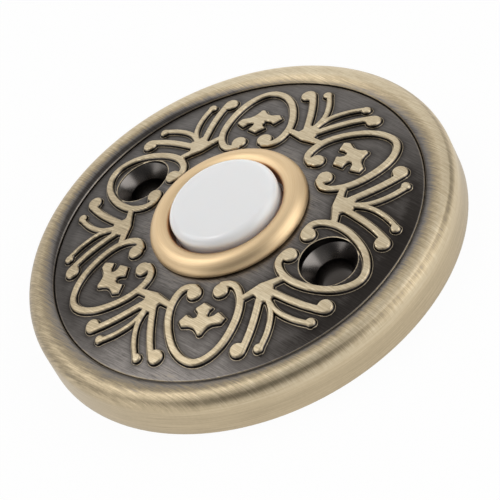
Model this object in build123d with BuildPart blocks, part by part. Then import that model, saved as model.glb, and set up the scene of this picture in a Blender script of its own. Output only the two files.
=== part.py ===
"""Doorbell push button: a domed round plate with scroll relief, and a push-button insert in its middle.

Millimetres, +Z away from the wall. The origin is the centre of the back, where the plate meets the wall,
and the two screw holes lie on the Y axis.
"""
import os
from math import acos, asin, cos, degrees, pi, sqrt
from build123d import *

os.makedirs("parts", exist_ok=True)

# Face plate
plate_diameter = 64.0
side_height = 4.4
shoulder_radius = 2.3
rim_width = 4.2
bead_drop = 0.6
field_step = 0.2
dome_rise = 3.2
dome_break = 20.0
dome_sides = 18
plate_wall = 2.3
side_wall = 2.6
shoulder_steps = 3
bead_steps = 2

# Screw holes
hole_pitch = 38.1
screw_hole_diameter = 5.2
countersink_diameter = 8.3
countersink_angle = 82
countersink_depth = 0.6
boss_wall = 2.4

# Relief ornament
relief_height = 0.6
crown_margin = 2.18
loop_width = 1.05
scroll_ball_radius = 1.25
outer_tendril_width = 1.0
outer_ball_radius = 1.12
inner_tendril_width = 0.76
inner_ball_radius = 0.68
loop_steps = 14
outer_tendril_steps = 2
inner_tendril_steps = 2
ball_sides = 8
inner_ball_sides = 6

# Bezel ring and its threaded barrel
bezel_diameter = 23.5
ring_roundness = 0.594
ring_lift = 0.34
barrel_clearance = 0.15
throat_depth = 1.24
throat_ledge = 0.65
barrel_wall = 0.8
rolled_edge = 0.4
rolled_edge_width = 0.7
roll_steps = 6

# Nut on the barrel
nut_wall = 2.5
nut_sides = 6
nut_height = 2.2
nut_pad_margin = 0.4
thread_clearance = 0.05

# Push cap
cap_diameter = 16.1
cap_gap = 0.5
cap_proud = 1.4
cap_edge_radius = 1.25
cap_edge_steps = 3
cap_wall = 1.65
flange_thickness = 1.05
flange_clearance = 0.25
stop_gap = 0.05
travel = 1.2

# Contact bar and return spring
bar_end_gap = 1.45
bar_width = 7.0
bar_thickness = 0.5
spring_gap = 0.45
spring_tip_radius = 2.0
wire_diameter = 0.5
spring_turns = 3
sides_per_turn = 7
spigot_width = 3.0
spigot_height = 0.4

# Switch base, terminals and contacts
base_thickness = 1.2
base_clearance = 0.05
strip_length = 6.8
strip_width = 4.3
strip_thickness = 0.6
strip_edge_gap = 1.0
contact_offset = (0.25, 2.2)
contact_width = 2.0
contact_height = 0.75
contact_gap = 0.05
screw_offset = (-0.15, -0.9)
screw_shank_radius = 1.45
screw_head_radius = 2.0
screw_head_height = 1.3
slot_width = 0.7
slot_depth = 0.6
clamp_washer_width = 4.2
clamp_washer_thickness = 0.3
hole_clearance = 0.05

# The rim and the dome, worked out from the sizes above
plate_radius = plate_diameter / 2
field_radius = plate_radius - rim_width
crest_radius = plate_radius - shoulder_radius
crest_height = side_height + shoulder_radius
field_edge = crest_height - bead_drop - field_step
dome_apex = field_edge + dome_rise
hollow_radius = plate_radius - side_wall
hole_radius = screw_hole_diameter / 2
sink_radius = countersink_diameter / 2
hole_places = [(0, hole_pitch / 2), (0, -hole_pitch / 2)]


def dome_height(radius, lift=0.0):
    """Height of the domed field at a distance from the centre, raised or lowered by lift."""
    return dome_apex + lift - dome_rise * (radius / field_radius) ** 2


def dome(land_radius, lift=0.0):
    """The dome as flat facets round a flat land: one roof-shaped section, crossed with itself all round."""
    land = (land_radius, dome_height(land_radius, lift))
    bend = (dome_break, dome_height(dome_break, lift))
    fall = (dome_height(dome_break) - field_edge) / (field_radius - dome_break)
    edge = (plate_radius, bend[1] - fall * (plate_radius - dome_break))
    section = [land, bend, edge, (plate_radius, 0)]
    with BuildPart(mode=Mode.PRIVATE) as facets:
        for turn in range(dome_sides // 2):
            with BuildSketch(Plane.XZ.rotated((0, 0, 360 * turn / dome_sides))):
                with BuildLine():
                    Polyline(*section, *[(-x, z) for x, z in reversed(section)], close=True)
                make_face()
            extrude(amount=plate_radius, both=True, mode=Mode.INTERSECT if turn else Mode.ADD)
    return facets.part


def arc_points(centre, radius, start, end, steps):
    """Points at even angles along an arc, in degrees."""
    spokes = [Vector(radius, 0).rotate(Axis.Z, start + (end - start) * i / steps) for i in range(steps + 1)]
    return [Vector(*centre) + spoke for spoke in spokes]


# Levels of the insert, from the bezel's seat down to the screw heads
bezel_radius = bezel_diameter / 2
cap_radius = cap_diameter / 2
throat_radius = cap_radius + cap_gap
ring_radius = ring_roundness * (bezel_radius - throat_radius)
ring_middle = bezel_radius - ring_radius
foot_radius = ring_middle + sqrt(ring_radius**2 - ring_lift**2)
seat = dome_height(foot_radius)
ring_centre = seat + ring_lift
bore_radius = throat_radius + throat_ledge
barrel_radius = bore_radius + barrel_wall
plate_bore = barrel_radius + barrel_clearance
throat_floor = seat - throat_depth
cap_top = ring_centre + ring_radius + cap_proud
flange_radius = bore_radius - flange_clearance
flange_top = throat_floor - stop_gap
flange_floor = flange_top - flange_thickness
cap_ceiling = cap_top - cap_wall
bar_floor = flange_floor - bar_thickness
contact_top = bar_floor - travel - contact_gap
strip_top = contact_top - contact_height
base_top = strip_top - strip_thickness
base_floor = base_top - base_thickness
barrel_floor = base_floor - rolled_edge
clamp_floor = base_floor - clamp_washer_thickness
head_floor = clamp_floor - screw_head_height
nut_flat_radius = barrel_radius + nut_wall
nut_pad_radius = nut_flat_radius / cos(pi / nut_sides) + nut_pad_margin
nut_pad = dome_height(nut_pad_radius, -plate_wall)

# The motif is drawn for this crown radius and sized to fit the field
motif_crown = 25.62
motif_scale = (field_radius - crown_margin) / motif_crown


def drawn(points):
    """Motif points at the size of this field."""
    return [(x * motif_scale, y * motif_scale) for x, y in points]


def ribbon(points, width, steps):
    """A band of even width along a smooth curve through the points, in short straight lengths."""
    with BuildLine(mode=Mode.PRIVATE):
        spine = Spline(*points)
    stations = [step / steps for step in range(steps + 1)]
    left = [spine @ t + (spine % t).rotate(Axis.Z, 90) * width / 2 for t in stations]
    right = [spine @ t + (spine % t).rotate(Axis.Z, -90) * width / 2 for t in reversed(stations)]
    with BuildLine(mode=Mode.PRIVATE) as outline:
        Polyline(*left, *right, close=True)
    make_face(outline.edges())


# Heart-shaped loop, open towards the centre, each end rolled into a ball
half_loop = [(2.62, 23.85), (4.58, 20.6), (5.27, 17.2), (4.85, 14.75), (3.45, 13.15), (2.1, 13.15)]
loop_spine = [(-x, y) for x, y in reversed(half_loop)] + [(0, 25.1)] + half_loop
scroll_ball = (1.98, 14.12)
with BuildSketch() as loop:
    ribbon(drawn(loop_spine), loop_width, loop_steps)
    with Locations(*drawn([scroll_ball, (-scroll_ball[0], scroll_ball[1])])):
        RegularPolygon(scroll_ball_radius, ball_sides)

# Fan of four tendrils on a root that is bridged to the loops on both sides
outer_spine = [(0.5, 16.9), (2.28, 19.6), (4.14, 22.0), (5.98, 23.9)]
outer_ball = (6.55, 23.57)
inner_spine = [(0.08, 18.0), (0.36, 20.6), (1.05, 22.0), (2.08, 23.4), (3.45, 24.75)]
inner_ball = (3.91, 24.88)
half_root = [(3.1, 15.85), (3.1, 16.7), (1.5, 16.7), (0.95, 18.5)]
with BuildSketch() as fan:
    ribbon(drawn(outer_spine), outer_tendril_width, outer_tendril_steps)
    with Locations(*drawn([outer_ball])):
        RegularPolygon(outer_ball_radius, ball_sides)
    ribbon(drawn(inner_spine), inner_tendril_width, inner_tendril_steps)
    with Locations(*drawn([inner_ball])):
        RegularPolygon(inner_ball_radius, inner_ball_sides)
    mirror(about=Plane.YZ)
    with BuildLine():
        Polyline(*drawn([(0, 15.4)] + half_root + [(-x, y) for x, y in reversed(half_root)]), close=True)
    make_face()

# Small fleur inside a loop: a pointed lobe, two blunt wings and a foot
half_fleur = [(0.65, 20.35), (1.7, 19.54), (2.95, 19.45), (3.4, 18.7), (2.3, 17.7), (1.2, 18.27)]
half_fleur += [(0.74, 17.8), (1.16, 16.85)]
fleur_outline = [(0, 21.07)] + half_fleur + [(0, 16.04)] + [(-x, y) for x, y in reversed(half_fleur)]
with BuildSketch() as fleur:
    with BuildLine():
        Polyline(*drawn(fleur_outline), close=True)
    make_face()

# The whole ring of ornament, raised to a dome that follows the field
relief_floor = (nut_pad + dome_height(field_radius - crown_margin)) / 2
with BuildPart() as relief:
    with BuildSketch(Plane.XY.offset(relief_floor)):
        with PolarLocations(0, 6):
            add(loop.sketch)
        with PolarLocations(0, 6, start_angle=30):
            add(fan.sketch)
        with Locations(*[Rotation(0, 0, turn) for turn in (60, 120, 240, 300)]):
            add(fleur.sketch)
    extrude(amount=dome_rise + relief_height)
    add(dome(foot_radius, relief_height), mode=Mode.INTERSECT)

# Room behind the dome, round the screw bosses, with a flat pad for the nut
with BuildPart() as hollow:
    Cylinder(hollow_radius, dome_apex, align=(Align.CENTER, Align.CENTER, Align.MIN))
    add(dome(nut_pad_radius, -plate_wall), mode=Mode.INTERSECT)
    with Locations(*hole_places):
        Cylinder(
            hole_radius + boss_wall,
            dome_apex,
            align=(Align.CENTER, Align.CENTER, Align.MIN),
            mode=Mode.SUBTRACT,
        )

# Die-cast plate: straight side, rounded rim, domed field with the relief, hollow back
bead_width = crest_radius - field_radius
bead_radius = (bead_width**2 + bead_drop**2) / (2 * bead_drop)
bead_turn = degrees(asin(bead_width / bead_radius))
rim_shoulder = arc_points((crest_radius, side_height), shoulder_radius, 0, 90, shoulder_steps)
rim_bead = arc_points((crest_radius, crest_height - bead_radius), bead_radius, 90, 90 + bead_turn, bead_steps)
with BuildPart() as face_plate:
    Cylinder(field_radius, dome_apex, align=(Align.CENTER, Align.CENTER, Align.MIN))
    add(dome(foot_radius), mode=Mode.INTERSECT)
    with BuildSketch(Plane.XZ):
        with BuildLine():
            Polyline((field_radius, 0), (plate_radius, 0), *rim_shoulder, *rim_bead[1:], close=True)
        make_face()
    revolve(axis=Axis.Z)
    add(hollow.part, mode=Mode.SUBTRACT)
    add(relief.part)
    Hole(plate_bore)
    sink_top = dome_height(hole_pitch / 2) - countersink_depth
    with Locations(*[(x, y, sink_top) for x, y in hole_places]):
        CounterSinkHole(hole_radius, sink_radius, counter_sink_angle=countersink_angle)
face_plate.part.label = "face_plate"
export_step(face_plate.part, "parts/face_plate.step")

# Turned ring with the barrel that passes through the plate, its end rolled over the switch base
foot_angle = -degrees(asin(ring_lift / ring_radius))
throat_angle = 180 - degrees(acos((ring_middle - throat_radius) / ring_radius))
ring_roll = arc_points((ring_middle, ring_centre), ring_radius, foot_angle, throat_angle, roll_steps)
with BuildPart() as bezel:
    with BuildSketch(Plane.XZ):
        with BuildLine():
            Polyline(
                *ring_roll,
                (throat_radius, throat_floor),
                (bore_radius, throat_floor),
                (bore_radius, base_floor),
                (bore_radius - rolled_edge_width, barrel_floor),
                (barrel_radius, barrel_floor),
                (barrel_radius, seat),
                close=True,
            )
        make_face()
    revolve(axis=Axis.Z)
bezel.part.label = "bezel"
export_step(bezel.part, "parts/bezel.step")

# Thin hexagon nut on the barrel, its flats towards the screw bosses
with BuildPart() as ring_nut:
    with BuildSketch(Plane.XY.offset(nut_pad - nut_height)):
        RegularPolygon(nut_flat_radius, nut_sides, major_radius=False)
        Circle(barrel_radius + thread_clearance, mode=Mode.SUBTRACT)
    extrude(amount=nut_height)
ring_nut.part.label = "ring_nut"
export_step(ring_nut.part, "parts/ring_nut.step")

# White push cap: flat top, rounded edge, retaining flange, hollow inside
cap_shoulder = cap_radius - cap_edge_radius
cap_edge = arc_points((cap_shoulder, cap_top - cap_edge_radius), cap_edge_radius, 90, 0, cap_edge_steps)
with BuildPart() as button_cap:
    with BuildSketch(Plane.XZ):
        with BuildLine():
            Polyline(
                (0, cap_top),
                *cap_edge,
                (cap_radius, flange_top),
                (flange_radius, flange_top),
                (flange_radius, flange_floor),
                (cap_radius - cap_wall, flange_floor),
                (cap_radius - cap_wall, cap_ceiling),
                (0, cap_ceiling),
                close=True,
            )
        make_face()
    revolve(axis=Axis.Z)
button_cap.part.label = "button_cap"
export_step(button_cap.part, "parts/button_cap.step")

# Brass bar under the cap, held up by the spring, that bridges the two contacts
with BuildPart() as contact_bar:
    with Locations((0, 0, bar_floor)):
        Box(
            2 * (flange_radius - bar_end_gap),
            bar_width,
            bar_thickness,
            align=(Align.CENTER, Align.CENTER, Align.MIN),
        )
contact_bar.part.label = "contact_bar"
export_step(contact_bar.part, "parts/contact_bar.step")

# Places of the terminals, worked inwards from the barrel's bore
strip_place = bore_radius - strip_edge_gap - strip_width / 2
contact_place = (strip_place + contact_offset[0], contact_offset[1])
screw_place = (strip_place + screw_offset[0], screw_offset[1])

# Tapered coil spring between the base and the bar, its wire drawn in short straight lengths
spring_foot_radius = strip_place - strip_width / 2 - spring_gap - wire_diameter / 2
spring_floor = base_top + wire_diameter / 2
spring_rise = bar_floor - base_top - wire_diameter
spring_steps = spring_turns * sides_per_turn
spring_points = []
for step in range(spring_steps + 1):
    part_way = step / spring_steps
    coil_radius = spring_foot_radius + (spring_tip_radius - spring_foot_radius) * part_way
    coil = Vector(coil_radius, 0, spring_floor + spring_rise * part_way)
    spring_points.append(coil.rotate(Axis.Z, 360 * step / sides_per_turn))
with BuildPart() as return_spring:
    with BuildLine() as wire:
        Polyline(*spring_points)
    with BuildSketch(Plane(origin=wire.line @ 0, z_dir=wire.line % 0)):
        RegularPolygon(wire_diameter / 2, 6)
    sweep(transition=Transition.RIGHT)
return_spring.part.label = "return_spring"
export_step(return_spring.part, "parts/return_spring.step")

# Insulating base held in the barrel, with a spigot for the spring and holes for the screws
with BuildPart() as switch_base:
    with BuildSketch(Plane.XY.offset(base_floor)):
        Circle(bore_radius - base_clearance)
        for turn in (0, 180):
            with Locations(Vector(*screw_place).rotate(Axis.Z, turn)):
                Circle(screw_shank_radius + hole_clearance, mode=Mode.SUBTRACT)
    extrude(amount=base_thickness)
    with Locations((0, 0, base_top)):
        Box(
            spigot_width,
            spigot_width,
            spigot_height,
            align=(Align.CENTER, Align.CENTER, Align.MIN),
        )
switch_base.part.label = "switch_base"
export_step(switch_base.part, "parts/switch_base.step")

# Both halves of the switch are the same, turned half round from right to left
for side, turn in (("right", 0), ("left", 180)):
    strip_spot = Vector(strip_place, 0).rotate(Axis.Z, turn)
    contact_spot = Vector(*contact_place).rotate(Axis.Z, turn)
    screw_spot = Vector(*screw_place).rotate(Axis.Z, turn)

    # Brass strip on the base, tapped for its screw
    with BuildPart() as strip:
        with BuildSketch(Plane.XY.offset(base_top)):
            with Locations(strip_spot):
                Rectangle(strip_width, strip_length)
            with Locations(screw_spot):
                Circle(screw_shank_radius + hole_clearance, mode=Mode.SUBTRACT)
        extrude(amount=strip_thickness)
    strip.part.label = f"terminal_strip_{side}"
    export_step(strip.part, f"parts/terminal_strip_{side}.step")

    # Silver contact welded on the strip
    with BuildPart() as contact:
        with Locations(contact_spot + Vector(0, 0, strip_top)):
            Box(
                contact_width,
                contact_width,
                contact_height,
                align=(Align.CENTER, Align.CENTER, Align.MIN),
            )
    contact.part.label = f"contact_{side}"
    export_step(contact.part, f"parts/contact_{side}.step")

    # Slotted binding screw for the bell wire, from the back into the strip
    with BuildPart() as screw:
        with Locations(screw_spot + Vector(0, 0, head_floor)):
            Cylinder(
                screw_head_radius,
                screw_head_height,
                align=(Align.CENTER, Align.CENTER, Align.MIN),
            )
            Cylinder(
                screw_shank_radius,
                strip_top - head_floor,
                align=(Align.CENTER, Align.CENTER, Align.MIN),
            )
            Box(
                slot_width,
                2 * screw_head_radius,
                slot_depth,
                align=(Align.CENTER, Align.CENTER, Align.MIN),
                mode=Mode.SUBTRACT,
            )
    screw.part.label = f"terminal_screw_{side}"
    export_step(screw.part, f"parts/terminal_screw_{side}.step")

    # Square clamp washer under the screw head
    with BuildPart() as clamp_washer:
        with BuildSketch(Plane.XY.offset(clamp_floor)):
            with Locations(screw_spot):
                Rectangle(clamp_washer_width, clamp_washer_width)
                Circle(screw_shank_radius + hole_clearance, mode=Mode.SUBTRACT)
        extrude(amount=clamp_washer_thickness)
    clamp_washer.part.label = f"clamp_washer_{side}"
    export_step(clamp_washer.part, f"parts/clamp_washer_{side}.step")
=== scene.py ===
"""Doorbell push button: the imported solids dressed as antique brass, satin gold and white plastic."""
import bpy
import numpy as np
from mathutils import Matrix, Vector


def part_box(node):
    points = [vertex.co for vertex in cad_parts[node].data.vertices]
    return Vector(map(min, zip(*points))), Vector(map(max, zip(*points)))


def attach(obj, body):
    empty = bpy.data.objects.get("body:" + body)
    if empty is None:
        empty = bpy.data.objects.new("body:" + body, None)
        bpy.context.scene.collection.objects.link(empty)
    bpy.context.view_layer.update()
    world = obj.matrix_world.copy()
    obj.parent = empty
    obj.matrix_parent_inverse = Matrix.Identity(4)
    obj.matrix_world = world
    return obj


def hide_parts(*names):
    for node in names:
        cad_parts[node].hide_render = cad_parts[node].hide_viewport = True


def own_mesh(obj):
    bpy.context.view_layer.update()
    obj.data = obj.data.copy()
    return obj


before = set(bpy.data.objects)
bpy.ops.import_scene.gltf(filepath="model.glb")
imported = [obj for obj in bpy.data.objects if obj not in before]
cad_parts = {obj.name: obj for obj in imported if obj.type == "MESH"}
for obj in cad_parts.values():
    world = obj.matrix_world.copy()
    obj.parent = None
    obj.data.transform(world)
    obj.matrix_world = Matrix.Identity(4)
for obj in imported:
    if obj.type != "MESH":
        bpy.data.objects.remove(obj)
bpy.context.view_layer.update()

# Face plate: one zinc die casting, plated with brass, blackened and rubbed back with a belt, so the scrolls
# and the rim are bright and the field between them stays dark. Screws through the two countersunk holes
# hold it to the wall. Sizes are in millimetres, and the mesh is in metres.
MM = 0.001
plate_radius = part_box("face_plate")[1][0] / MM
side_height = 4.4
shoulder_radius = 2.3
crest_radius = plate_radius - shoulder_radius
crest_height = side_height + shoulder_radius
rim_width = 4.2
field_radius = plate_radius - rim_width
bead_drop = 0.6
field_step = 0.2
field_edge = crest_height - bead_drop - field_step
dome_rise = 3.2
dome_apex = field_edge + dome_rise
land_radius = 11.7
bore_radius = 10.15
nut_pad_radius = 14.83
plate_wall = 2.3
side_wall = 2.6
hollow_radius = plate_radius - side_wall
hole_pitch = 38.1
mouth_radius = 4.15
hole_radius = 2.6
sink_depth = 0.6
sink_half_angle = 41
boss_radius = 5.0
relief_height = 0.56


def dome_height(radius):
    """Height of the field: a parabola that falls by dome_rise from the centre to the field's edge."""
    return dome_apex - dome_rise * (radius / field_radius) ** 2


def smooth_line(points, count):
    """Evenly spaced points on the natural cubic spline through the given points."""
    points = np.array(points, float)
    spans = np.hypot(*np.diff(points, axis=0).T)
    knots = np.concatenate([[0], np.cumsum(spans)])
    slopes = np.diff(points, axis=0) / spans[:, None]
    inner = np.arange(1, len(points) - 1)
    system = np.eye(len(points))
    system[inner, inner - 1] = spans[:-1]
    system[inner, inner] = 2 * (spans[:-1] + spans[1:])
    system[inner, inner + 1] = spans[1:]
    sides = np.zeros_like(points)
    sides[1:-1] = 6 * np.diff(slopes, axis=0)
    bend = np.linalg.solve(system, sides)
    along = np.linspace(0, knots[-1], count)
    span = np.clip(np.searchsorted(knots, along) - 1, 0, len(spans) - 1)
    left = (along - knots[span])[:, None]
    right = (knots[span + 1] - along)[:, None]
    width = spans[span][:, None]
    curve = (bend[span] * right**3 + bend[span + 1] * left**3) / (6 * width)
    curve += (points[span] / width - bend[span] * width / 6) * right
    return curve + (points[span + 1] / width - bend[span + 1] * width / 6) * left


def line_distance(x, y, line):
    """Distance from every point to the nearest stretch of a line of points."""
    nearest = np.full(x.shape, np.inf)
    for (ax, ay), (bx, by) in zip(line[:-1], line[1:]):
        share = ((x - ax) * (bx - ax) + (y - ay) * (by - ay)) / ((bx - ax) ** 2 + (by - ay) ** 2)
        share = np.clip(share, 0, 1)
        nearest = np.minimum(nearest, (x - ax - share * (bx - ax)) ** 2 + (y - ay - share * (by - ay)) ** 2)
    return np.sqrt(nearest)


def shape_distance(x, y, outline):
    """Distance to a closed outline, negative inside it: a point is inside where a ray crosses it oddly."""
    inside = np.zeros(x.shape, bool)
    for (ax, ay), (bx, by) in zip(outline[:-1], outline[1:]):
        crosses = (ay > y) != (by > y)
        inside ^= crosses & (x < ax + (y - ay) * (bx - ax) / (by - ay if by != ay else 1))
    return np.where(inside, -1, 1) * line_distance(x, y, outline)


# The motif, as (across, out) from its own axis: a heart-shaped loop with rolled ends, a fan of tendrils
# on a forked root, and a small fleur inside the loop. Ribbons have a width, and rolled ends are balls with
# a middle and a radius. A loop's ends stand further in by hole_room where it goes round a screw hole.
half_loop = [(2.62, 23.85), (4.58, 20.6), (5.27, 17.2), (4.85, 14.75), (3.45, 13.15), (2.1, 13.15)]
loop_points = 121
tendril_points = 24
whole_loop = [(-x, y) for x, y in half_loop[::-1]] + [(0, 25.1)] + half_loop
loop_line = smooth_line(whole_loop, loop_points)[loop_points // 2:]
outer_tendril = [(0.5, 16.9), (2.28, 19.6), (4.14, 22.0), (5.98, 23.9)]
inner_tendril = [(0.08, 18.0), (0.36, 20.6), (1.05, 22.0), (2.08, 23.4), (3.45, 24.75)]
outer_line = smooth_line(outer_tendril, tendril_points)
inner_line = smooth_line(inner_tendril, tendril_points)
half_root = [(0, 15.4), (3.1, 15.85), (3.1, 16.7), (1.5, 16.7), (0.95, 18.5)]
root_outline = half_root + [(-x, y) for x, y in half_root[::-1]]
half_fleur = [
    (0, 21.07), (0.3, 20.95), (0.65, 20.35), (1.1, 19.85), (1.7, 19.54),
    (2.95, 19.45), (3.5, 18.6), (2.4, 17.55), (1.75, 18.1), (1.2, 18.27),
    (0.85, 18.18), (0.74, 17.8), (0.85, 17.35), (1.32, 16.8), (0, 15.9),
]
fleur_outline = half_fleur + [(-x, y) for x, y in half_fleur[-2::-1]]
ribbons = {"loop": 1.05, "outer": 1.0, "inner": 0.76}
balls = {"loop": ((1.98, 14.1), 1.12), "outer": ((6.55, 23.57), 1.12), "inner": ((3.91, 24.88), 0.68)}
hole_room = 0.25


def relief_distance(x, y):
    """Distance to the scrolls' outline, negative on them. The plate is folded onto one half of one motif:
    its loops stand at every 60 degrees from +Y and mirror themselves, with the fans half way between."""
    radius = np.hypot(x, y)
    turn = np.degrees(np.arctan2(x, y))
    fold = np.radians(np.abs((turn + 30) % 60 - 30))
    across, out = radius * np.sin(fold), radius * np.cos(fold)
    fan_across, fan_out = radius * np.sin(np.pi / 6 - fold), radius * np.cos(np.pi / 6 - fold)
    beside_hole = np.abs((turn + 90) % 180 - 90) < 30
    distance = line_distance(across, out, loop_line) - ribbons["loop"] / 2
    (ball_x, ball_y), ball_radius = balls["loop"]
    ball_y = ball_y - np.where(beside_hole, hole_room, 0)
    distance = np.minimum(distance, np.hypot(across - ball_x, out - ball_y) - ball_radius)
    for name, line in (("outer", outer_line), ("inner", inner_line)):
        distance = np.minimum(distance, line_distance(fan_across, fan_out, line) - ribbons[name] / 2)
        (ball_x, ball_y), ball_radius = balls[name]
        distance = np.minimum(distance, np.hypot(fan_across - ball_x, fan_out - ball_y) - ball_radius)
    distance = np.minimum(distance, shape_distance(fan_across, fan_out, root_outline))
    fleur = shape_distance(across, out, fleur_outline)
    return np.where(beside_hole, distance, np.minimum(distance, fleur))


def hole_distance(x, y):
    """Distance from every point to the axis of the nearer screw hole."""
    return np.hypot(x, np.abs(y) - hole_pitch / 2)


def between_stops(values, stops):
    """Straight lines through stops of (value, result), level beyond both ends, read off at values."""
    return np.interp(values, *np.transpose(stops))


# The field is a polar grid. Grid points near the scrolls' upper and lower edges, or near a hole's mouth,
# slide onto them, and each quad is split along the scrolls, so the edges come out clean.
round_edge, top_edge, base_edge = -0.16, -0.03, 0.17
field_columns = 840
margin_radii = np.linspace(27.4, 25.9, 6)
scroll_radii = np.linspace(25.76, 12.4, 95)
land_radii = (12.1, 11.85)
radii = np.concatenate([margin_radii, scroll_radii, land_radii])
angles = np.linspace(0, 2 * np.pi, field_columns, endpoint=False)
radius, angle = np.meshgrid(radii, angles, indexing="ij")
x, y = radius * np.cos(angle), radius * np.sin(angle)
cell_out = np.abs(np.gradient(radii))[:, None]
cell_round = radius * 2 * np.pi / field_columns
least_slope = 1e-9
edges_to_follow = (
    (relief_distance, (round_edge, top_edge, base_edge)),
    (hole_distance, (mouth_radius,)),
)
for distance_to, levels in edges_to_follow:
    distance = distance_to(x, y)
    slope_out = np.gradient(distance, axis=0) / np.gradient(radii)[:, None]
    slope_round = (np.roll(distance, -1, axis=1) - np.roll(distance, 1, axis=1)) / (2 * cell_round)
    steepness = np.hypot(slope_out, slope_round) + least_slope
    slope_out, slope_round = slope_out / steepness, slope_round / steepness
    reach = 0.5 * np.maximum(cell_out * np.abs(slope_out), cell_round * np.abs(slope_round))
    for level in levels:
        shift = np.where(np.abs(distance - level) < reach, level - distance, 0)
        x = x + shift * (slope_out * np.cos(angle) - slope_round * np.sin(angle))
        y = y + shift * (slope_out * np.sin(angle) + slope_round * np.cos(angle))

# Points within mouth_snap of a mouth are set exactly on its circle, and the quads within mouth_zone of it are
# split along the mouth
mouth_snap = 0.02
mouth_zone = 0.35
mouth_play = 0.001
distance = relief_distance(x, y)
from_hole = hole_distance(x, y)
at_mouth = np.abs(from_hole - mouth_radius) < mouth_snap
stretch = np.where(at_mouth, mouth_radius / from_hole, 1)
hole_side = np.sign(y) * hole_pitch / 2
x, y = x * stretch, hole_side + (y - hole_side) * stretch
from_hole = hole_distance(x, y)

# Over a scroll's edge the surface falls to the field. A stop is a distance from the outline and the share of
# the scrolls' height that is left there.
edge_fall = ((-0.3, 1.0), (round_edge, 0.97), (-0.09, 0.9), (top_edge, 0.7), (base_edge, 0.03), (0.32, 0.0))
lift = relief_height * between_stops(distance, edge_fall)
z = dome_height(np.hypot(x, y)) + lift
field_points = np.stack([x, y, z], axis=-1).reshape(-1, 3)


def ring_quads(rows, columns, first=0):
    """Quads between neighbouring rows of a grid that closes on itself sideways, numbered from first."""
    row, column = np.meshgrid(np.arange(rows - 1), np.arange(columns), indexing="ij")
    corner = first + row * columns + column
    beside = first + row * columns + (column + 1) % columns
    return np.stack([corner, beside, beside + columns, corner + columns], axis=-1).reshape(-1, 4)


quads = ring_quads(len(radii), field_columns)
near_hole = np.abs(from_hole - mouth_radius).ravel()[quads].min(axis=1) < mouth_zone
guide = np.where(near_hole[:, None], from_hole.ravel()[quads], distance.ravel()[quads])
first_way = np.abs(guide[:, 0] - guide[:, 2]) <= np.abs(guide[:, 1] - guide[:, 3])
triangles = np.where(
    first_way[:, None],
    quads[:, [0, 1, 2, 0, 2, 3]],
    quads[:, [0, 1, 3, 1, 2, 3]],
).reshape(-1, 3)
middle = field_points[triangles].mean(axis=1)
triangles = triangles[hole_distance(middle[:, 0], middle[:, 1]) > mouth_radius - mouth_play]


def arc(centre, radius, start, end, steps):
    """Points at even angles along an arc, in degrees, as rows of (radius, height)."""
    angle = np.radians(np.linspace(start, end, steps + 1))
    return np.column_stack([centre[0] + radius * np.cos(angle), centre[1] + radius * np.sin(angle)])


def turned(profile, columns):
    """A profile of (radius, height) rows carried round the Z axis: points as (row, column, xyz)."""
    angle = np.linspace(0, 2 * np.pi, columns, endpoint=False)
    radius, height = np.array(profile, float).T[:, :, None]
    return np.stack([radius * np.cos(angle), radius * np.sin(angle), height + 0 * angle], axis=-1)


# The rim and the back are turned profiles, with one column for five of the field's. The rim has the back
# edge, the straight side, the rounded shoulder, the bead that falls to the field, and at its foot a small
# groove, as (out, up) from the field's edge. The back has the ring's land, the bore, the nut's pad and the
# hollow behind the dome.
fan_size = 5
rim_columns = field_columns // fan_size
bead_width = crest_radius - field_radius
bead_radius = (bead_width**2 + bead_drop**2) / (2 * bead_drop)
bead_turn = np.degrees(np.arcsin(bead_width / bead_radius))
back_flat = 0.2
back_round = 0.25
back_round_middle = 0.07
side_rows = (back_round, 1.4, 2.8)
groove = ((0.02, 0.18), (-0.02, 0.11), (-0.05, -0.1), (-0.11, -0.13), (-0.2, -0.02))
groove_width = 0.28
groove_end = field_radius - groove_width
rim_profile = np.concatenate([
    [(hollow_radius, 0), (hollow_radius + back_flat, 0), (plate_radius - back_round, 0)],
    [(plate_radius - back_round_middle, back_round_middle)],
    [(plate_radius, height) for height in side_rows],
    arc((crest_radius, side_height), shoulder_radius, 0, 90, steps=30),
    arc((crest_radius, crest_height - bead_radius), bead_radius, 90, 90 + bead_turn, steps=12)[1:-1],
    np.array(groove) + (field_radius, field_edge),
    [(groove_end, dome_height(groove_end))],
])
land_height = dome_height(land_radius)
bore_break = 0.15
roof_round = 0.4
roof = np.linspace(nut_pad_radius, hollow_radius - roof_round, 8)
back_profile = np.concatenate([
    [(land_radius, land_height), (bore_radius + bore_break, land_height)],
    [(bore_radius, land_height - bore_break), (bore_radius, dome_height(nut_pad_radius) - plate_wall)],
    np.column_stack([roof, dome_height(roof) - plate_wall]),
    [(hollow_radius, dome_height(hollow_radius) - plate_wall - roof_round), (hollow_radius, 0)],
])
rim_points = turned(rim_profile, rim_columns).reshape(-1, 3)
back_points = turned(back_profile, rim_columns).reshape(-1, 3)
all_points = np.concatenate([field_points, rim_points, back_points])
rim_first = len(field_points)
back_first = rim_first + len(rim_points)
hole_first = len(all_points)


def ladder(few, many, flip):
    """Triangles between a ring of points and a ring with fan_size times as many, both numbered round: each
    point of the first fans out to the nearest of the second, and one triangle joins it to its neighbour."""
    steps = np.column_stack([many.reshape(-1, fan_size), np.roll(many, -fan_size)[::fan_size]])
    after = np.roll(few, -1)
    half = fan_size // 2
    faces = [np.column_stack([few, steps[:, i + 1], steps[:, i]]) for i in range(half)]
    faces += [np.column_stack([few, after, steps[:, half]])]
    faces += [np.column_stack([after, steps[:, i + 1], steps[:, i]]) for i in range(half, fan_size)]
    faces = np.concatenate(faces)
    return faces[:, ::-1] if flip else faces


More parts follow.
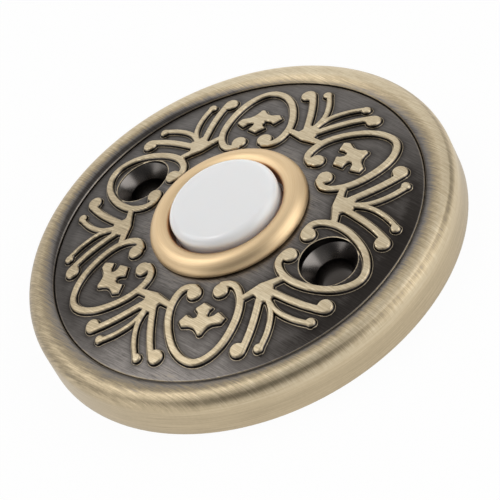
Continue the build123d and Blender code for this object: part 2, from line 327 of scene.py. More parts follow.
outer_ring = np.arange(field_columns)
inner_ring = outer_ring + (len(radii) - 1) * field_columns
rim_end = rim_first + (len(rim_profile) - 1) * rim_columns + np.arange(rim_columns)
back_start = back_first + np.arange(rim_columns)
boss_cover = 0.8
back_quads = ring_quads(len(back_profile), rim_columns, back_first)
back_middle = all_points[back_quads].mean(axis=1)
over_boss = hole_distance(back_middle[:, 0], back_middle[:, 1]) < boss_cover * boss_radius
faces = [
    triangles,
    ring_quads(len(rim_profile), rim_columns, rim_first),
    back_quads[~over_boss],
    ladder(rim_end, outer_ring, False),
    ladder(back_start, inner_ring, True),
]

# Each screw hole carries its mouth's ring of points down: a straight lip, the countersink's cone, the hole,
# and the foot and wall of the boss that stands behind it. A step is a radius, a height and how far the black
# is rubbed off there.
lip_width = 0.07
lip_radius = mouth_radius - lip_width
lip_round = 0.05
lip_least = 0.12
sink_round_out, sink_round_up = 0.05, 0.03
hole_break = 0.1
boss_overlap = 1.0
sink_top = dome_height(hole_pitch / 2) - sink_depth
sink_floor = sink_top - (mouth_radius - hole_radius) / np.tan(np.radians(sink_half_angle))
boss_top = dome_height(hole_pitch / 2) - plate_wall + boss_overlap
edges = np.sort(triangles[:, [0, 1, 1, 2, 2, 0]].reshape(-1, 2), axis=1)
edges, uses = np.unique(edges, axis=0, return_counts=True)
mouth_points = np.unique(edges[uses == 1])
mouth_points = mouth_points[np.abs(from_hole.ravel()[mouth_points] - mouth_radius) < mouth_snap / 2]
hole_rub = []
for side in (-1, 1):
    ring = mouth_points[np.sign(all_points[mouth_points, 1]) == side]
    centre = np.array([0, side * hole_pitch / 2])
    bearing = np.arctan2(*(all_points[ring, :2] - centre).T[::-1])
    ring, bearing = ring[np.argsort(bearing)], np.sort(bearing)
    mouth_height = all_points[ring, 2]
    lip_foot = np.minimum(sink_top, mouth_height - lip_least)
    steps = (
        (lip_radius, mouth_height - lip_round, 0.08),
        (lip_radius, lip_foot, 0.03),
        (lip_radius - lip_round, lip_foot, 0.24),
        (hole_radius + sink_round_out, sink_floor + sink_round_up, 0.2),
        (hole_radius, sink_floor - hole_break, 0.15),
        (hole_radius, hole_break, 0.1),
        (hole_radius + hole_break, 0, 0.1),
        (boss_radius - hole_break, 0, 0.2),
        (boss_radius, hole_break, 0.2),
        (boss_radius, boss_top, 0.2),
    )
    rows = [ring]
    for step_radius, height, level in steps:
        place = centre + step_radius * np.column_stack([np.cos(bearing), np.sin(bearing)])
        rows.append(len(all_points) + np.arange(len(ring)))
        all_points = np.concatenate([all_points, np.column_stack([place, height + 0 * bearing])])
        hole_rub.append(np.full(len(ring), level))
    for upper, lower in zip(rows[:-1], rows[1:]):
        faces.append(np.column_stack([upper, np.roll(upper, -1), np.roll(lower, -1), lower]))


def new_piece(name, points, face_groups, crease, body, slot, *nodes):
    """A mesh from millimetre points and arrays of faces, smooth where faces meet at less than crease degrees.
    It rides a body and stands for CAD nodes."""
    corners = np.concatenate([group.ravel() for group in face_groups])
    sizes = np.concatenate([np.full(len(group), group.shape[1]) for group in face_groups])
    mesh = bpy.data.meshes.new(name)
    mesh.vertices.add(len(points))
    mesh.vertices.foreach_set("co", np.ascontiguousarray(points * MM, dtype=np.float32).ravel())
    mesh.loops.add(len(corners))
    mesh.loops.foreach_set("vertex_index", corners.astype(np.int32))
    mesh.polygons.add(len(sizes))
    mesh.polygons.foreach_set("loop_start", np.concatenate([[0], np.cumsum(sizes)[:-1]]).astype(np.int32))
    mesh.polygons.foreach_set("use_smooth", np.ones(len(sizes), bool))
    mesh.update(calc_edges=True)
    mesh.validate()
    mesh.set_sharp_from_angle(angle=np.radians(crease))
    piece = bpy.data.objects.new(name, mesh)
    bpy.context.scene.collection.objects.link(piece)
    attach(piece, body)
    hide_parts(*nodes)
    return piece


plate_crease = 42
plate = new_piece("antique_plate", all_points, faces, plate_crease, "housing", "antique_brass", "face_plate")

# Where the black has been rubbed off, with painted light mixed in: a level for each point, from 0 in a
# crevice to
# 1 on a worn edge. Levels are given at eight turns round the plate, counted from its front, the side that
# lies nearest the camera; how they change from turn to turn is partly uneven wear and partly painted light.
front_azimuth = -116.92


def round_plate(turns, levels):
    """Eight levels, which stand 45 degrees apart from -135 on, with straight lines between them, read off at
    these turns from the plate's front in degrees."""
    return np.interp(turns, np.arange(-135, 181, 45), levels, period=360)


# The field is barer beside the gold ring, has a painted highlight at its front left edge, and is darkest at
# the foot of the scrolls, partly black left in the corner and partly painted shade. Its changes by turn round
# the plate are painted light. Stops give a level, or a share of that painted light, at radii from the plate's
# centre.
field_level = 0.18
ring_side_level = ((12, 0.08), (15.5, 0))
front_left_highlight_level = ((20, 0), (26, 0.08))
front_left_turn = -45
front_left_focus = 5
field_share = ((14, 0), (18, 1))
margin_share = ((25, 0), (26, 1))
foot_shade = 0.5
foot_reach = 0.45
field_out = np.hypot(x, y).ravel()
field_turn = np.degrees(np.arctan2(y, x)).ravel() - front_azimuth
front_left_painted_highlight = np.maximum(np.cos(np.radians(field_turn - front_left_turn)), 0) ** front_left_focus
# Painted light: the field is made lighter or darker at each turn round the plate by how the lamps fall there
field_painted_light = round_plate(field_turn, (1.0, 0.86, 1.0, 0.77, 0.67, 1.0, 1.12, 1.05))
margin_painted_shade = round_plate(field_turn, (0.82, 0.86, 0.98, 0.78, 0.6, 1.0, 0.95, 0.82))
field_rub_and_painted_light = field_level + between_stops(field_out, ring_side_level)
field_rub_and_painted_light += between_stops(field_out, front_left_highlight_level) * front_left_painted_highlight
field_rub_and_painted_light *= 1 + (field_painted_light - 1) * between_stops(field_out, field_share)
field_rub_and_painted_light *= 1 + (margin_painted_shade - 1) * between_stops(field_out, margin_share)
# Painted shade, with some black left in the corner: the field darkens toward the foot of each scroll
field_rub_and_painted_light *= 1 - foot_shade * np.exp(-np.maximum(distance.ravel() - base_edge, 0) / foot_reach)

# On the bead the belt reached in to belt_radius, and faded out over belt_blend on both sides of it; their
# changes by turn, and those of the rim's levels, are partly uneven wear and partly painted light. A dark band
# on the shoulder, with stops at its tilt in degrees, is a painted reflection of the cloth's dark gap, and the
# groove kept its black between two worn edges.
rim_turn = np.linspace(0, 360, rim_columns, endpoint=False) - front_azimuth
belt_radius = round_plate(rim_turn, (29.15, 28.6, 29.6, 29.5, 29.65, 29.05, 28.1, 28.9))
belt_blend = round_plate(rim_turn, (0.7, 1.2, 1.7, 0.8, 1.0, 1.0, 1.0, 0.6))
belt_level = round_plate(rim_turn, (0.64, 0.58, 0.68, 0.8, 0.8, 0.8, 0.85, 0.84))
bead_level = round_plate(rim_turn, (0.12, 0.17, 0.2, 0.18, 0.2, 0.2, 0.2, 0.14))
painted_reflection_level = round_plate(rim_turn, (0.1, 0.08, 0.03, 0.16, 0.3, 0.18, 0.1, 0.1))
painted_reflection_tilts = ((24, 0), (37, 1), (45, 1), (50, 0))
groove_edge_level = round_plate(rim_turn, (0.3, 0.4, 0.45, 0.3, 0.4, 0.6, 0.95, 0.5))
groove_levels = (0.15, 0.0, 0.0, 0.5, 0.36)
side_level = 0.65
mouth_level = 0.85
profile_out, profile_up = rim_profile.T
bead_wear = np.clip(0.5 + (profile_out[:, None] - belt_radius) / (2 * belt_blend), 0, 1)
rim_rub_and_painted_light = bead_level + (belt_level - bead_level) * bead_wear
tilt = np.degrees(np.arctan2(profile_up - side_height, profile_out - crest_radius))
on_shoulder = (profile_out > crest_radius) & (profile_up >= side_height)
painted_reflection = between_stops(tilt, painted_reflection_tilts) * on_shoulder
# Painted reflection: a dark band is taken off the shoulder's level between these tilts
rim_rub_and_painted_light -= painted_reflection_level * painted_reflection[:, None]
rim_rub_and_painted_light[profile_up < side_height] = side_level
rim_rub_and_painted_light[-len(groove_levels) - 1] = groove_edge_level
rim_rub_and_painted_light[-len(groove_levels):] = np.array(groove_levels)[:, None]
rub_and_painted_light = np.full(len(all_points), field_level)
rub_and_painted_light[:rim_first] = field_rub_and_painted_light
rub_and_painted_light[rim_first:back_first] = rim_rub_and_painted_light.ravel()
rub_and_painted_light[hole_first:] = np.concatenate(hole_rub)
rub_and_painted_light[mouth_points] = mouth_level

# The material also reads each point's distance from the scrolls' outline, the painted shade that darkens the
# scrolls there, most on the left, and whether it is on the side wall, which ends over a stretch of the
# height, or in a screw hole
side_fade = ((4.2, 1), (5.6, 0))
from_edge, scroll_painted_shade = np.ones((2, len(all_points)))
on_side, in_hole = np.zeros((2, len(all_points)))
from_edge[:rim_first] = distance.ravel()
# Painted shade: the scrolls' tops are darkened on the left, where the left softbox falls on them
scroll_painted_shade[:rim_first] = round_plate(field_turn, (0.86, 0.84, 0.93, 1.0, 1.0, 0.99, 1.0, 1.0))
on_side[rim_first:back_first] = np.repeat(between_stops(profile_up, side_fade), rim_columns)
in_hole[hole_first:] = 1
wear_and_painted_light = {
    "rub_and_painted_light": rub_and_painted_light,
    "from_edge": from_edge,
    "scroll_painted_shade": scroll_painted_shade,
    "on_side": on_side,
    "in_hole": in_hole,
}
for name, values in wear_and_painted_light.items():
    attribute = plate.data.attributes.new(name, "FLOAT", "POINT")
    attribute.data.foreach_set("value", values.astype(np.float32))


def linear(colour):
    """An sRGB hex colour as linear RGBA."""
    srgb = np.array([int(colour[i:i + 2], 16) for i in (1, 3, 5)]) / 255
    rgb = np.where(srgb <= 0.04045, srgb / 12.92, ((srgb + 0.055) / 1.055) ** 2.4)
    return (*rgb, 1.0)


def add_node(tree, kind, inputs, stops=(), **settings):
    """A node with its settings, its inputs linked where they are sockets and set where they are values. Stops
    are a colour ramp's places and what stands there, a hex colour or a grey level."""
    node = tree.nodes.new(kind)
    for name, value in settings.items():
        setattr(node, name, value)
    for key, value in inputs.items():
        if isinstance(value, bpy.types.NodeSocket):
            tree.links.new(value, node.inputs[key])
        else:
            node.inputs[key].default_value = value
    for _ in stops[2:]:
        node.color_ramp.elements.new(0.5)
    for i, (place, tone) in enumerate(stops):
        node.color_ramp.elements[i].position = place
        node.color_ramp.elements[i].color = linear(tone) if isinstance(tone, str) else (tone, tone, tone, 1)
    return node


def new_material(name):
    """An empty node material and the shader that its output shows."""
    material = bpy.data.materials.new(name)
    material.use_nodes = True
    tree = material.node_tree
    return material, tree, tree.nodes["Principled BSDF"]


# Antique brass: metal with a black sulphide left in the recesses. Belt scratches run along Y over the top
# and round the side wall, and they let brass through the black and black through the brass. Real scratches
# are finer: these are as wide as they need to be to show.
antique_brass, tree, shader = new_material("antique_brass")
coordinates = add_node(tree, "ShaderNodeTexCoord", {}).outputs["Object"]
rubbed_and_painted_light, edge_gap, top_painted_shade, side_share, hole_share = (
    add_node(tree, "ShaderNodeAttribute", {}, attribute_name=name).outputs["Fac"] for name in wear_and_painted_light
)
scratch_width = 0.16 * MM
top_length = 3 * MM
side_length = 8 * MM
mottle_size = 0.5 * MM
scratch_depth = 0.02 * MM
scratch_bump = 0.2
top_scale = (1 / scratch_width, 1 / top_length, 1 / top_length)
side_scale = (1 / side_length, 1 / side_length, 1 / scratch_width)
scratches = []
for scale in (top_scale, side_scale):
    placed = add_node(tree, "ShaderNodeMapping", {"Vector": coordinates, "Scale": scale}).outputs[0]
    pattern = {"Vector": placed, "Scale": 1.0, "Detail": 3.0, "Roughness": 0.6}
    scratches.append(add_node(tree, "ShaderNodeTexNoise", pattern).outputs["Fac"])
streak = add_node(
    tree, "ShaderNodeMix", {"Factor": side_share, "A": scratches[0], "B": scratches[1]}, data_type="FLOAT"
).outputs["Result"]
mottle = add_node(
    tree, "ShaderNodeTexNoise", {"Vector": coordinates, "Scale": 1 / mottle_size, "Detail": 4.0}
).outputs["Fac"]

# The scrolls' level goes by the distance from their outline: a bright top with a painted highlight along its
# rounded edge, a black wall, and a painted highlight, a thin bright line, where the wall meets the field. On
# the rest of the plate it is the level of each point.
edge_reach = 0.5
scroll_reach = 0.22
# Painted highlights: the rise to 0.83 on the top's rounded edge and the bright line from 0.17 to 0.2
edge_levels = (
    (-edge_reach, 0.8), (-0.3, 0.8), (-0.13, 0.83), (-0.06, 0.62), (-0.02, 0.48),
    (0.03, 0.04), (0.14, 0.04), (0.17, 0.6), (0.2, 0.6), (scroll_reach, 0.2),
)
edge_place = add_node(
    tree, "ShaderNodeMapRange", {"Value": edge_gap, "From Min": -edge_reach, "From Max": edge_reach}
).outputs["Result"]
edge_level = add_node(
    tree, "ShaderNodeValToRGB", {"Fac": edge_place},
    stops=[(0.5 + place / (2 * edge_reach), level) for place, level in edge_levels],
).outputs["Color"]
scroll_level = add_node(
    tree, "ShaderNodeMath", {0: edge_level, 1: top_painted_shade}, operation="MULTIPLY"
).outputs[0]
on_scroll = add_node(tree, "ShaderNodeMath", {0: edge_gap, 1: scroll_reach}, operation="LESS_THAN").outputs[0]
# This level mixes the rubbing with the painted light and shade carried by the points and the edge stops
bare_and_painted_light = add_node(
    tree, "ShaderNodeMix", {"Factor": on_scroll, "A": rubbed_and_painted_light, "B": scroll_level}, data_type="FLOAT"
).outputs["Result"]

# Scratches and mottle push that level up and down, most where the belt half cut through the black, less on
# the side wall and not at all in the holes
noise_low, noise_high = 0.3, 0.7
most_streak, most_mottle = 0.24, 0.05
streak_push, mottle_push = (
    add_node(
        tree, "ShaderNodeMapRange",
        {"Value": noise, "From Min": noise_low, "From Max": noise_high, "To Min": -most, "To Max": most},
    ).outputs["Result"]
    for noise, most in ((streak, most_streak), (mottle, most_mottle))
)
push = add_node(tree, "ShaderNodeMath", {0: streak_push, 1: mottle_push}, operation="ADD").outputs[0]
push_levels = ((0.0, 0.06), (0.16, 0.1), (0.21, 0.22), (0.27, 0.5), (0.5, 0.75), (0.7, 0.65), (0.82, 0.4))
push_share = add_node(tree, "ShaderNodeValToRGB", {"Fac": bare_and_painted_light}, stops=push_levels).outputs["Color"]
side_push = 0.45
side_calm = add_node(
    tree, "ShaderNodeMapRange", {"Value": side_share, "To Min": 1.0, "To Max": side_push}
).outputs["Result"]
outside = add_node(tree, "ShaderNodeMath", {0: 1.0, 1: hole_share}, operation="SUBTRACT").outputs[0]
for share in (side_calm, outside):
    push_share = add_node(tree, "ShaderNodeMath", {0: push_share, 1: share}, operation="MULTIPLY").outputs[0]
polish_and_painted_light = add_node(
    tree, "ShaderNodeMath", {0: push, 1: push_share, 2: bare_and_painted_light}, operation="MULTIPLY_ADD"
).outputs[0]
brass_tones = (
    (0.0, "#151312"), (0.1, "#383431"), (0.25, "#7c7773"),
    (0.5, "#a3947a"), (0.75, "#cab99a"), (1.0, "#efe3c8"),
)
brass = add_node(tree, "ShaderNodeValToRGB", {"Fac": polish_and_painted_light}, stops=brass_tones)
tree.links.new(brass.outputs["Color"], shader.inputs["Base Color"])
black_level, bare_level = 0.1, 0.8
black_roughness, bare_roughness, hole_roughness = 0.28, 0.46, 0.25
gloss = add_node(
    tree, "ShaderNodeMapRange",
    {
        "Value": bare_and_painted_light, "From Min": black_level, "From Max": bare_level,
        "To Min": black_roughness, "To Max": bare_roughness,
    },
).outputs["Result"]
gloss = add_node(
    tree, "ShaderNodeMix", {"Factor": hole_share, "A": gloss, "B": hole_roughness}, data_type="FLOAT"
)
tree.links.new(gloss.outputs["Result"], shader.inputs["Roughness"])
bump_share = add_node(tree, "ShaderNodeMath", {0: outside, 1: scratch_bump}, operation="MULTIPLY").outputs[0]
bump = add_node(tree, "ShaderNodeBump", {"Height": streak, "Strength": bump_share, "Distance": scratch_depth})
tree.links.new(bump.outputs["Normal"], shader.inputs["Normal"])
shader.inputs["Metallic"].default_value = 1.0
plate.data.materials.append(antique_brass)

# Bezel: a ring and its threaded barrel turned from one piece of brass, satin finished on the lathe. The ring
# clamps the plate from the front, and the end of the barrel is crimped over the switch base.
barrel_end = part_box("bezel")[0][2] / MM
barrel_radius = 10.0
barrel_bore = 9.2
barrel_break = 0.1
crimp_width = 0.7
crimp_height = 0.4
throat_radius = 8.55
throat_depth = 1.24
ring_edge = 11.75
ring_fullness = 0.594
ring_radius = ring_fullness * (ring_edge - throat_radius)
ring_middle = ring_edge - ring_radius
ring_lift = 0.34
ring_undercut = 0.3
ring_gap = 0.02
ring_break_in, ring_break_down = 0.04, 0.05
seat = dome_height(ring_middle + np.sqrt(ring_radius**2 - ring_lift**2))
ring_centre = seat + ring_lift
throat_angle = 180 - np.degrees(np.arccos((ring_middle - throat_radius) / ring_radius))
throat_floor = seat - throat_depth
thread_pitch = 0.75
thread_depth = 0.2
thread_run_out = 0.5
thread_rows = np.linspace(barrel_end + barrel_break, seat, 73)

# Inside its top the ring is a plain arc. Outside it is a quarter of a superellipse, a little flatter.
outer_exponent = 1.75
outer_turn = np.radians(np.linspace(0, 90, 25))
outer_across = np.abs(np.cos(outer_turn)) ** (2 / outer_exponent)
outer_up = np.sin(outer_turn) ** (2 / outer_exponent)
ring_profile = np.concatenate([
    [(barrel_bore - crimp_width, barrel_end), (barrel_radius - barrel_break, barrel_end)],
    np.column_stack([np.full(len(thread_rows), barrel_radius), thread_rows]),
    [(ring_edge - ring_undercut, seat + ring_gap)],
    [(ring_edge - ring_break_in, ring_centre - ring_break_down)],
    np.column_stack([ring_middle + ring_radius * outer_across, ring_centre + ring_radius * outer_up]),
    arc((ring_middle, ring_centre), ring_radius, 90, throat_angle, steps=20)[1:],
    [(throat_radius, throat_floor), (barrel_bore, throat_floor), (barrel_bore, barrel_end + crimp_height)],
    [(barrel_bore - crimp_width, barrel_end)],
])
ring_columns = 192
ring_crease = 40
ring_grid = turned(ring_profile, ring_columns)

# The barrel's thread is a groove whose depth goes up and down once in each pitch, and climbs a pitch a turn
threaded = slice(2, 2 + len(thread_rows))
thread_turn = np.linspace(0, 1, ring_columns, endpoint=False)
thread_phase = (thread_rows[:, None] / thread_pitch - thread_turn) % 1
from_end = np.minimum(thread_rows - thread_rows[0], thread_rows[-1] - thread_rows)
thread_fade = np.clip(from_end / thread_run_out, 0, 1)[:, None]
thread_groove = thread_depth * np.abs(2 * thread_phase - 1) * thread_fade
ring_grid[threaded, :, :2] *= (1 - thread_groove / barrel_radius)[..., None]
bezel = new_piece(
    "satin_bezel", ring_grid.reshape(-1, 3), [ring_quads(len(ring_profile), ring_columns)],
    ring_crease, "housing", "satin_gold", "bezel",
)

# Satin gold: brass with fine turning marks that run round the axis and spread each reflection into a soft
# band. Down the throat a darker, redder tone is painted reflection and shade, the ring's own colour bounced
# between ring and cap. The marks are as wide as they need to be to show.
satin_gold, tree, shader = new_material("satin_gold")
mark_width = 0.12 * MM
mark_length = 6 * MM
across_scale = (1 / mark_width, 1 / mark_width, 1)
along_scale = (1 / mark_length, 1 / mark_length, 1 / mark_length)
throat_reflection_span = (0.02, 0.25)
reflection_start, reflection_end = ((throat_radius + out) * MM for out in throat_reflection_span)
coordinates = add_node(tree, "ShaderNodeTexCoord", {}).outputs["Object"]
split = add_node(tree, "ShaderNodeSeparateXYZ", {"Vector": coordinates})
flat = add_node(tree, "ShaderNodeCombineXYZ", {"X": split.outputs["X"], "Y": split.outputs["Y"]}).outputs[0]
from_axis = add_node(tree, "ShaderNodeVectorMath", {0: flat}, operation="LENGTH").outputs["Value"]
section = add_node(tree, "ShaderNodeCombineXYZ", {"X": from_axis, "Y": split.outputs["Z"]}).outputs[0]
across_marks = add_node(tree, "ShaderNodeMapping", {"Vector": section, "Scale": across_scale}).outputs[0]
along_marks = add_node(tree, "ShaderNodeMapping", {"Vector": flat, "Scale": along_scale}).outputs[0]
marks_at = add_node(
    tree, "ShaderNodeVectorMath", {0: across_marks, 1: along_marks}, operation="ADD"
).outputs[0]
marks = add_node(
    tree, "ShaderNodeTexNoise", {"Vector": marks_at, "Scale": 1.0, "Detail": 2.0}
).outputs["Fac"]
gold = add_node(
    tree, "ShaderNodeValToRGB", {"Fac": marks}, stops=((0.3, "#e5c79d"), (0.7, "#ebd1a8"))
).outputs["Color"]
# Painted reflection and shade: the tone turns darker and redder down the throat
throat_painted_reflection = add_node(
    tree, "ShaderNodeMapRange",
    {"Value": from_axis, "From Min": reflection_start, "From Max": reflection_end, "To Min": 1.0, "To Max": 0.0},
).outputs["Result"]
tone = add_node(
    tree, "ShaderNodeMix", {"Factor": throat_painted_reflection, "A": gold, "B": linear("#b57a4c")}, data_type="RGBA"
)
tree.links.new(tone.outputs["Result"], shader.inputs["Base Color"])
bump = add_node(tree, "ShaderNodeBump", {"Height": marks, "Strength": 0.08, "Distance": 0.01 * MM})
tree.links.new(bump.outputs["Normal"], shader.inputs["Normal"])
shader.inputs["Metallic"].default_value = 1.0
shader.inputs["Roughness"].default_value = 0.44
bezel.data.materials.append(satin_gold)

# Push cap: moulded in white ABS with a slightly crowned top, a rounded edge and a flange behind the ring
# that keeps it in. It is hollow behind, and slides in the barrel.
cap_low, cap_high = (np.array(corner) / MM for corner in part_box("button_cap"))
cap_radius = 8.05
cap_edge = 1.25
cap_top_radius = cap_radius - cap_edge
cap_crown = 0.15
cap_wall = 1.65
cap_bore = cap_radius - cap_wall
flange_radius = cap_high[0]
flange_break = 0.1
flange_height = 1.05
flange_top = cap_low[2] + flange_height
shoulder_height = cap_high[2] - cap_crown
cap_ceiling = shoulder_height - cap_wall
pole_radius = 0.05
crown = np.linspace(cap_top_radius, pole_radius, 14)
cap_profile = np.concatenate([
    [(pole_radius, cap_ceiling), (cap_bore, cap_ceiling), (cap_bore, cap_low[2])],
    [(flange_radius - flange_break, cap_low[2]), (flange_radius, cap_low[2] + flange_break)],
    [(flange_radius, flange_top), (cap_radius, flange_top)],
    arc((cap_top_radius, shoulder_height - cap_edge), cap_edge, 0, 90, steps=20),
    np.column_stack([crown, shoulder_height + cap_crown * (1 - (crown / cap_top_radius) ** 2)])[1:],
])
cap_columns = 128
cap_crease = 35
cap_points = turned(cap_profile, cap_columns).reshape(-1, 3)
poles = np.array([(0, 0, cap_profile[0, 1]), (0, 0, cap_high[2])])


def closed_tube(rows, columns):
    """Faces of a grid that closes sideways, with a fan to a middle point at each end. The two middle points
    follow the grid's own points."""
    first, last = np.arange(columns), (rows - 1) * columns + np.arange(columns)
    first_middle = np.full(columns, rows * columns)
    return [
        ring_quads(rows, columns),
        np.column_stack([first_middle, np.roll(first, -1), first]),
        np.column_stack([last, np.roll(last, -1), first_middle + 1]),
    ]


cap = new_piece(
    "white_cap", np.concatenate([cap_points, poles]), closed_tube(len(cap_profile), cap_columns),
    cap_crease, "button", "white_plastic", "button_cap",
)

# White ABS: a glossy moulding with a faint waviness in its skin. Light goes a little way into it, so its side
# stays pale down in the ring.
white_abs, tree, shader = new_material("white_abs")
wave_size = 3 * MM
coordinates = add_node(tree, "ShaderNodeTexCoord", {}).outputs["Object"]
wave = add_node(
    tree, "ShaderNodeTexNoise", {"Vector": coordinates, "Scale": 1 / wave_size, "Detail": 1.0}
).outputs["Fac"]
bump = add_node(tree, "ShaderNodeBump", {"Height": wave, "Strength": 0.05, "Distance": 0.02 * MM})
tree.links.new(bump.outputs["Normal"], shader.inputs["Normal"])
shader.inputs["Base Color"].default_value = linear("#f2f2f2")
shader.inputs["Roughness"].default_value = 0.09
shader.inputs["IOR"].default_value = 1.53
shader.inputs["Subsurface Weight"].default_value = 0.5
shader.inputs["Subsurface Radius"].default_value = (1.0, 0.9, 0.85)
shader.inputs["Subsurface Scale"].default_value = 1.2 * MM
shader.inputs["Coat Weight"].default_value = 0.6
shader.inputs["Coat Roughness"].default_value = 0.05
cap.data.materials.append(white_abs)

# Contact bar and terminal strips: half-hard brass, blanked from rolled sheet. The spring holds the bar up
# under the cap, and pressed, it bridges the two contacts, which the strips on the base carry. The rolls leave
# fine lines.


def dress(name, light, dark, metallic, roughness, grain, *nodes):
    """A finish of two tones in a grain of the given width, depth and height in millimetres, on CAD nodes."""
    finish, tree, shader = new_material(name)
    coordinates = add_node(tree, "ShaderNodeTexCoord", {}).outputs["Object"]
    scale = tuple(1 / (size * MM) for size in grain)
    placed = add_node(tree, "ShaderNodeMapping", {"Vector": coordinates, "Scale": scale}).outputs[0]
    pattern = {"Vector": placed, "Scale": 1.0, "Detail": 4.0}
    grains = add_node(tree, "ShaderNodeTexNoise", pattern).outputs["Fac"]
    tone = add_node(tree, "ShaderNodeValToRGB", {"Fac": grains}, stops=((0.35, dark), (0.65, light)))
    tree.links.new(tone.outputs["Color"], shader.inputs["Base Color"])
    bump = add_node(tree, "ShaderNodeBump", {"Height": grains, "Strength": 0.1, "Distance": 0.02 * MM})
    tree.links.new(bump.outputs["Normal"], shader.inputs["Normal"])
    shader.inputs["Metallic"].default_value = metallic
    shader.inputs["Roughness"].default_value = roughness
    for node_name in nodes:
        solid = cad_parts[node_name]
        solid.data.materials.clear()
        solid.data.materials.append(finish)
    return finish


strips = ("terminal_strip_right", "terminal_strip_left")
dress("rolled_brass", "#d8b56a", "#b8934c", 1.0, 0.3, (3, 0.15, 0.15), "contact_bar", *strips)

# Contacts: small square blocks of fine silver, welded on the strips, which the pressed bar touches. They are
# bright, and a little dull from handling.
dress("fine_silver", "#e8e6e0", "#cfcdc6", 1.0, 0.25, (0.3, 0.3, 0.3), "contact_right", "contact_left")

# Switch base: a disc moulded in black phenolic, held in the barrel by its rolled edge. It insulates the two
# terminals, and its filler shows as a faint fleck.
dress("black_phenolic", "#2a2826", "#1d1c1b", 0.0, 0.45, (0.4, 0.4, 0.4), "switch_base")

# Ring nut, terminal screws and clamp washers: turned or pressed steel, zinc plated. The nut pulls the ring
# down on the plate, and the screws clamp the bell wires under the washers.
fasteners = [f"{part}_{side}" for part in ("terminal_screw", "clamp_washer") for side in ("right", "left")]
dress("zinc_plated_steel", "#b9bbb8", "#9a9d9b", 1.0, 0.38, (0.4, 0.4, 0.4), "ring_nut", *fasteners)

# Return spring: hard drawn steel wire wound on a cone, so that its turns nest as it is pressed. It stands on
# the base between the contacts and lifts the cap, and it shortens by the cap's travel.
spring_low, spring_high = (np.array(corner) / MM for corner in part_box("return_spring"))
spring_height = spring_high[2] - spring_low[2]
spring_turns = 3
wire_radius = 0.25
wire_columns = 12
wire_crease = 50
coil_foot = spring_high[0] - wire_radius
coil_tip = 2.0
coil_low = spring_low[2] + wire_radius
coil_rise = spring_height - 2 * wire_radius
coil_steps = 48


def coil(foot, tip, low, rise, turns, steps):
    """The middle line of a conical coil: its radius and height change evenly with its turn, from +X."""
    share = np.linspace(0, 1, turns * steps + 1)
    turn = 2 * np.pi * turns * share
    radius = foot + (tip - foot) * share
    return np.column_stack([radius * np.cos(turn), radius * np.sin(turn), low + rise * share])


def wire(path, radius, columns):
    """A circle carried along a path, square to it: one axis points away from Z, the other is square to both.
    The path's two ends follow the circles, as their middle points."""
    ahead = np.gradient(path, axis=0)
    ahead /= np.linalg.norm(ahead, axis=1, keepdims=True)
    outward = path * (1, 1, 0)
    outward -= ahead * np.sum(outward * ahead, axis=1, keepdims=True)
    outward /= np.linalg.norm(outward, axis=1, keepdims=True)
    upward = np.cross(ahead, outward)
    angle = np.linspace(0, 2 * np.pi, columns, endpoint=False)[:, None]
    circle = np.cos(angle) * outward[:, None] + np.sin(angle) * upward[:, None]
    return np.concatenate([(path[:, None] + radius * circle).reshape(-1, 3), path[[0, -1]]])


coil_line = coil(coil_foot, coil_tip, coil_low, coil_rise, spring_turns, coil_steps)
spring = new_piece(
    "spring_wire", wire(coil_line, wire_radius, wire_columns), closed_tube(len(coil_line), wire_columns),
    wire_crease, "housing", "steel", "return_spring",
)
spring.data.materials.append(dress("spring_steel", "#a9abab", "#8d8f90", 1.0, 0.32, (0.2, 0.2, 0.2)))
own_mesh(spring)

# Studio: a sheet of white paper that the plate lies on, in a tent of white cloth with soft lamps behind it.
# The camera stands where the photograph was taken, turned about its own axis.
floor_half = 3.0
floor_height = -0.02 * MM
floor_corners = np.array([(-1, -1), (1, -1), (1, 1), (-1, 1)]) * floor_half
floor_mesh = bpy.data.meshes.new("floor")
floor_mesh.from_pydata([(east, north, floor_height) for east, north in floor_corners], [], [(0, 1, 2, 3)])
floor = bpy.data.objects.new("floor", floor_mesh)
bpy.context.scene.collection.objects.link(floor)

# White paper: matt. Seen by the camera or in a reflection it is nearly all even white, with a trace of shadow
white_paper, tree, shader = new_material("white_paper")
even_white = 0.96
shader.inputs["Base Color"].default_value = linear("#f4f4f2")
shader.inputs["Roughness"].default_value = 0.9
white = add_node(tree, "ShaderNodeEmission", {"Color": (1, 1, 1, 1), "Strength": 1.0})
rays = add_node(tree, "ShaderNodeLightPath", {}).outputs
seen = add_node(
    tree, "ShaderNodeMath", {0: rays["Is Camera Ray"], 1: rays["Is Glossy Ray"]}, operation="MAXIMUM"
).outputs[0]
white_share = add_node(tree, "ShaderNodeMath", {0: seen, 1: even_white}, operation="MULTIPLY").outputs[0]
paper = add_node(tree, "ShaderNodeMixShader", {0: white_share, 1: shader.outputs[0], 2: white.outputs[0]})
tree.links.new(paper.outputs[0], tree.nodes["Material Output"].inputs["Surface"])
floor_mesh.materials.append(white_paper)

world = bpy.data.worlds.new("studio")
bpy.context.scene.world = world
world.use_nodes = True
tree = world.node_tree
tree.nodes.clear()
direction = add_node(tree, "ShaderNodeTexCoord", {}).outputs["Generated"]


def towards(azimuth, elevation):
    """Unit vector for an azimuth from the plate's front, positive to the camera's right, and an elevation."""
    turn, rise = np.radians(front_azimuth + azimuth), np.radians(elevation)
    return np.cos(rise) * np.cos(turn), np.cos(rise) * np.sin(turn), np.sin(rise)


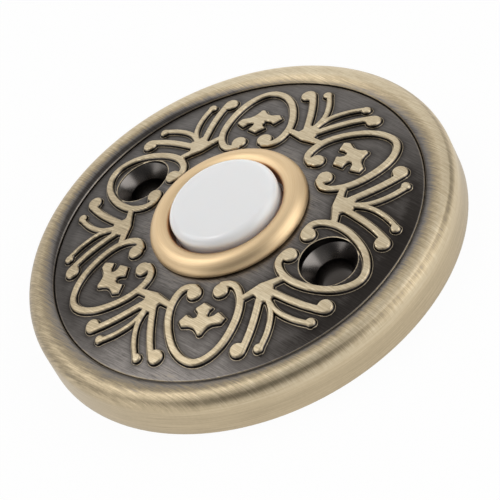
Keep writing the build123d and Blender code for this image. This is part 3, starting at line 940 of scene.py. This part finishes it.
# The cloth has one dark gap over the camera, which lies in a tilted plane: its glow goes by the cosine of the
# angle from that plane's axis
gap_axis = towards(-160, 40)
cloth = ((-1.0, 0.5), (-0.55, 0.5), (-0.35, 0.25), (-0.2, 0.08), (0.06, 0.06), (0.25, 0.42), (0.6, 0.5))
across_gap = add_node(
    tree, "ShaderNodeVectorMath", {0: direction, 1: gap_axis}, operation="DOT_PRODUCT"
).outputs["Value"]
gap_place = add_node(
    tree, "ShaderNodeMapRange", {"Value": across_gap, "From Min": -1.0, "From Max": 1.0}
).outputs["Result"]
cloth_glow = add_node(
    tree, "ShaderNodeValToRGB", {"Fac": gap_place},
    stops=[(0.5 + 0.5 * cosine, glow) for cosine, glow in cloth],
).outputs["Color"]
light = add_node(tree, "ShaderNodeSeparateColor", {"Color": cloth_glow}).outputs["Red"]

# Each panel has an azimuth, an elevation, the angles from its middle at which it is full and gone, and a glow
panels = (
    ("left softbox", -122, 53, 16, 30, 1.2),
    ("front right softbox", 66, 28, 14, 36, 1.8),
    ("left wall", -80, 2, 18, 24, 0.8),
    ("white backdrop", 180, 0, 20, 55, 0.3),
    ("right wall", 145, 42, 8, 40, 0.28),
    ("left lamp", -136, 67, 3, 7, 4.0),
)
for _, azimuth, elevation, full, gone, glow in panels:
    facing = add_node(
        tree, "ShaderNodeVectorMath", {0: direction, 1: towards(azimuth, elevation)}, operation="DOT_PRODUCT"
    ).outputs["Value"]
    dark_cosine, full_cosine = np.cos(np.radians((gone, full)))
    panel = add_node(
        tree, "ShaderNodeMapRange",
        {"Value": facing, "From Min": dark_cosine, "From Max": full_cosine, "To Max": glow},
        interpolation_type="SMOOTHSTEP",
    ).outputs["Result"]
    light = add_node(tree, "ShaderNodeMath", {0: light, 1: panel}, operation="ADD").outputs[0]

# The light is stronger near the horizon, and the camera sees plain white behind the plate
horizon_glow = 0.3
horizon_top = 0.35
upward = add_node(tree, "ShaderNodeSeparateXYZ", {"Vector": direction}).outputs["Z"]
horizon = add_node(
    tree, "ShaderNodeMapRange",
    {"Value": upward, "From Min": 0.0, "From Max": horizon_top, "To Min": horizon_glow, "To Max": 0.0},
).outputs["Result"]
light = add_node(tree, "ShaderNodeMath", {0: light, 1: horizon}, operation="ADD").outputs[0]
tent = add_node(tree, "ShaderNodeBackground", {"Color": (1, 1, 1, 1), "Strength": light}).outputs[0]
backdrop = add_node(tree, "ShaderNodeBackground", {"Color": (1, 1, 1, 1), "Strength": 1.0}).outputs[0]
camera_ray = add_node(tree, "ShaderNodeLightPath", {}).outputs["Is Camera Ray"]
shown = add_node(tree, "ShaderNodeMixShader", {0: camera_ray, 1: tent, 2: backdrop}).outputs[0]
add_node(tree, "ShaderNodeOutputWorld", {"Surface": shown})

camera_place = np.array([-147.215, -290.194, 287.465]) * MM
camera_aim = np.array([-2.358, -4.894, 5.9]) * MM
camera_roll = np.radians(-28.665)
focal_pixels = 3091.09
picture_width = 500
camera_data = bpy.data.cameras.new("camera")
camera_data.sensor_width = 36
camera_data.lens = focal_pixels * camera_data.sensor_width / picture_width
camera_data.clip_start = 0.01
ahead = camera_aim - camera_place
ahead /= np.linalg.norm(ahead)
sideways = np.cross(ahead, (0, 0, 1))
sideways /= np.linalg.norm(sideways)
upright = np.cross(sideways, ahead)
camera_right = np.cos(camera_roll) * sideways + np.sin(camera_roll) * upright
camera_up = np.cross(camera_right, ahead)
camera_matrix = np.eye(4)
camera_matrix[:3, :4] = np.column_stack([camera_right, camera_up, -ahead, camera_place])
camera = bpy.data.objects.new("camera", camera_data)
camera.matrix_world = Matrix(camera_matrix.tolist())
bpy.context.scene.collection.objects.link(camera)
bpy.context.scene.camera = camera
bpy.context.scene.view_settings.view_transform = "Standard"
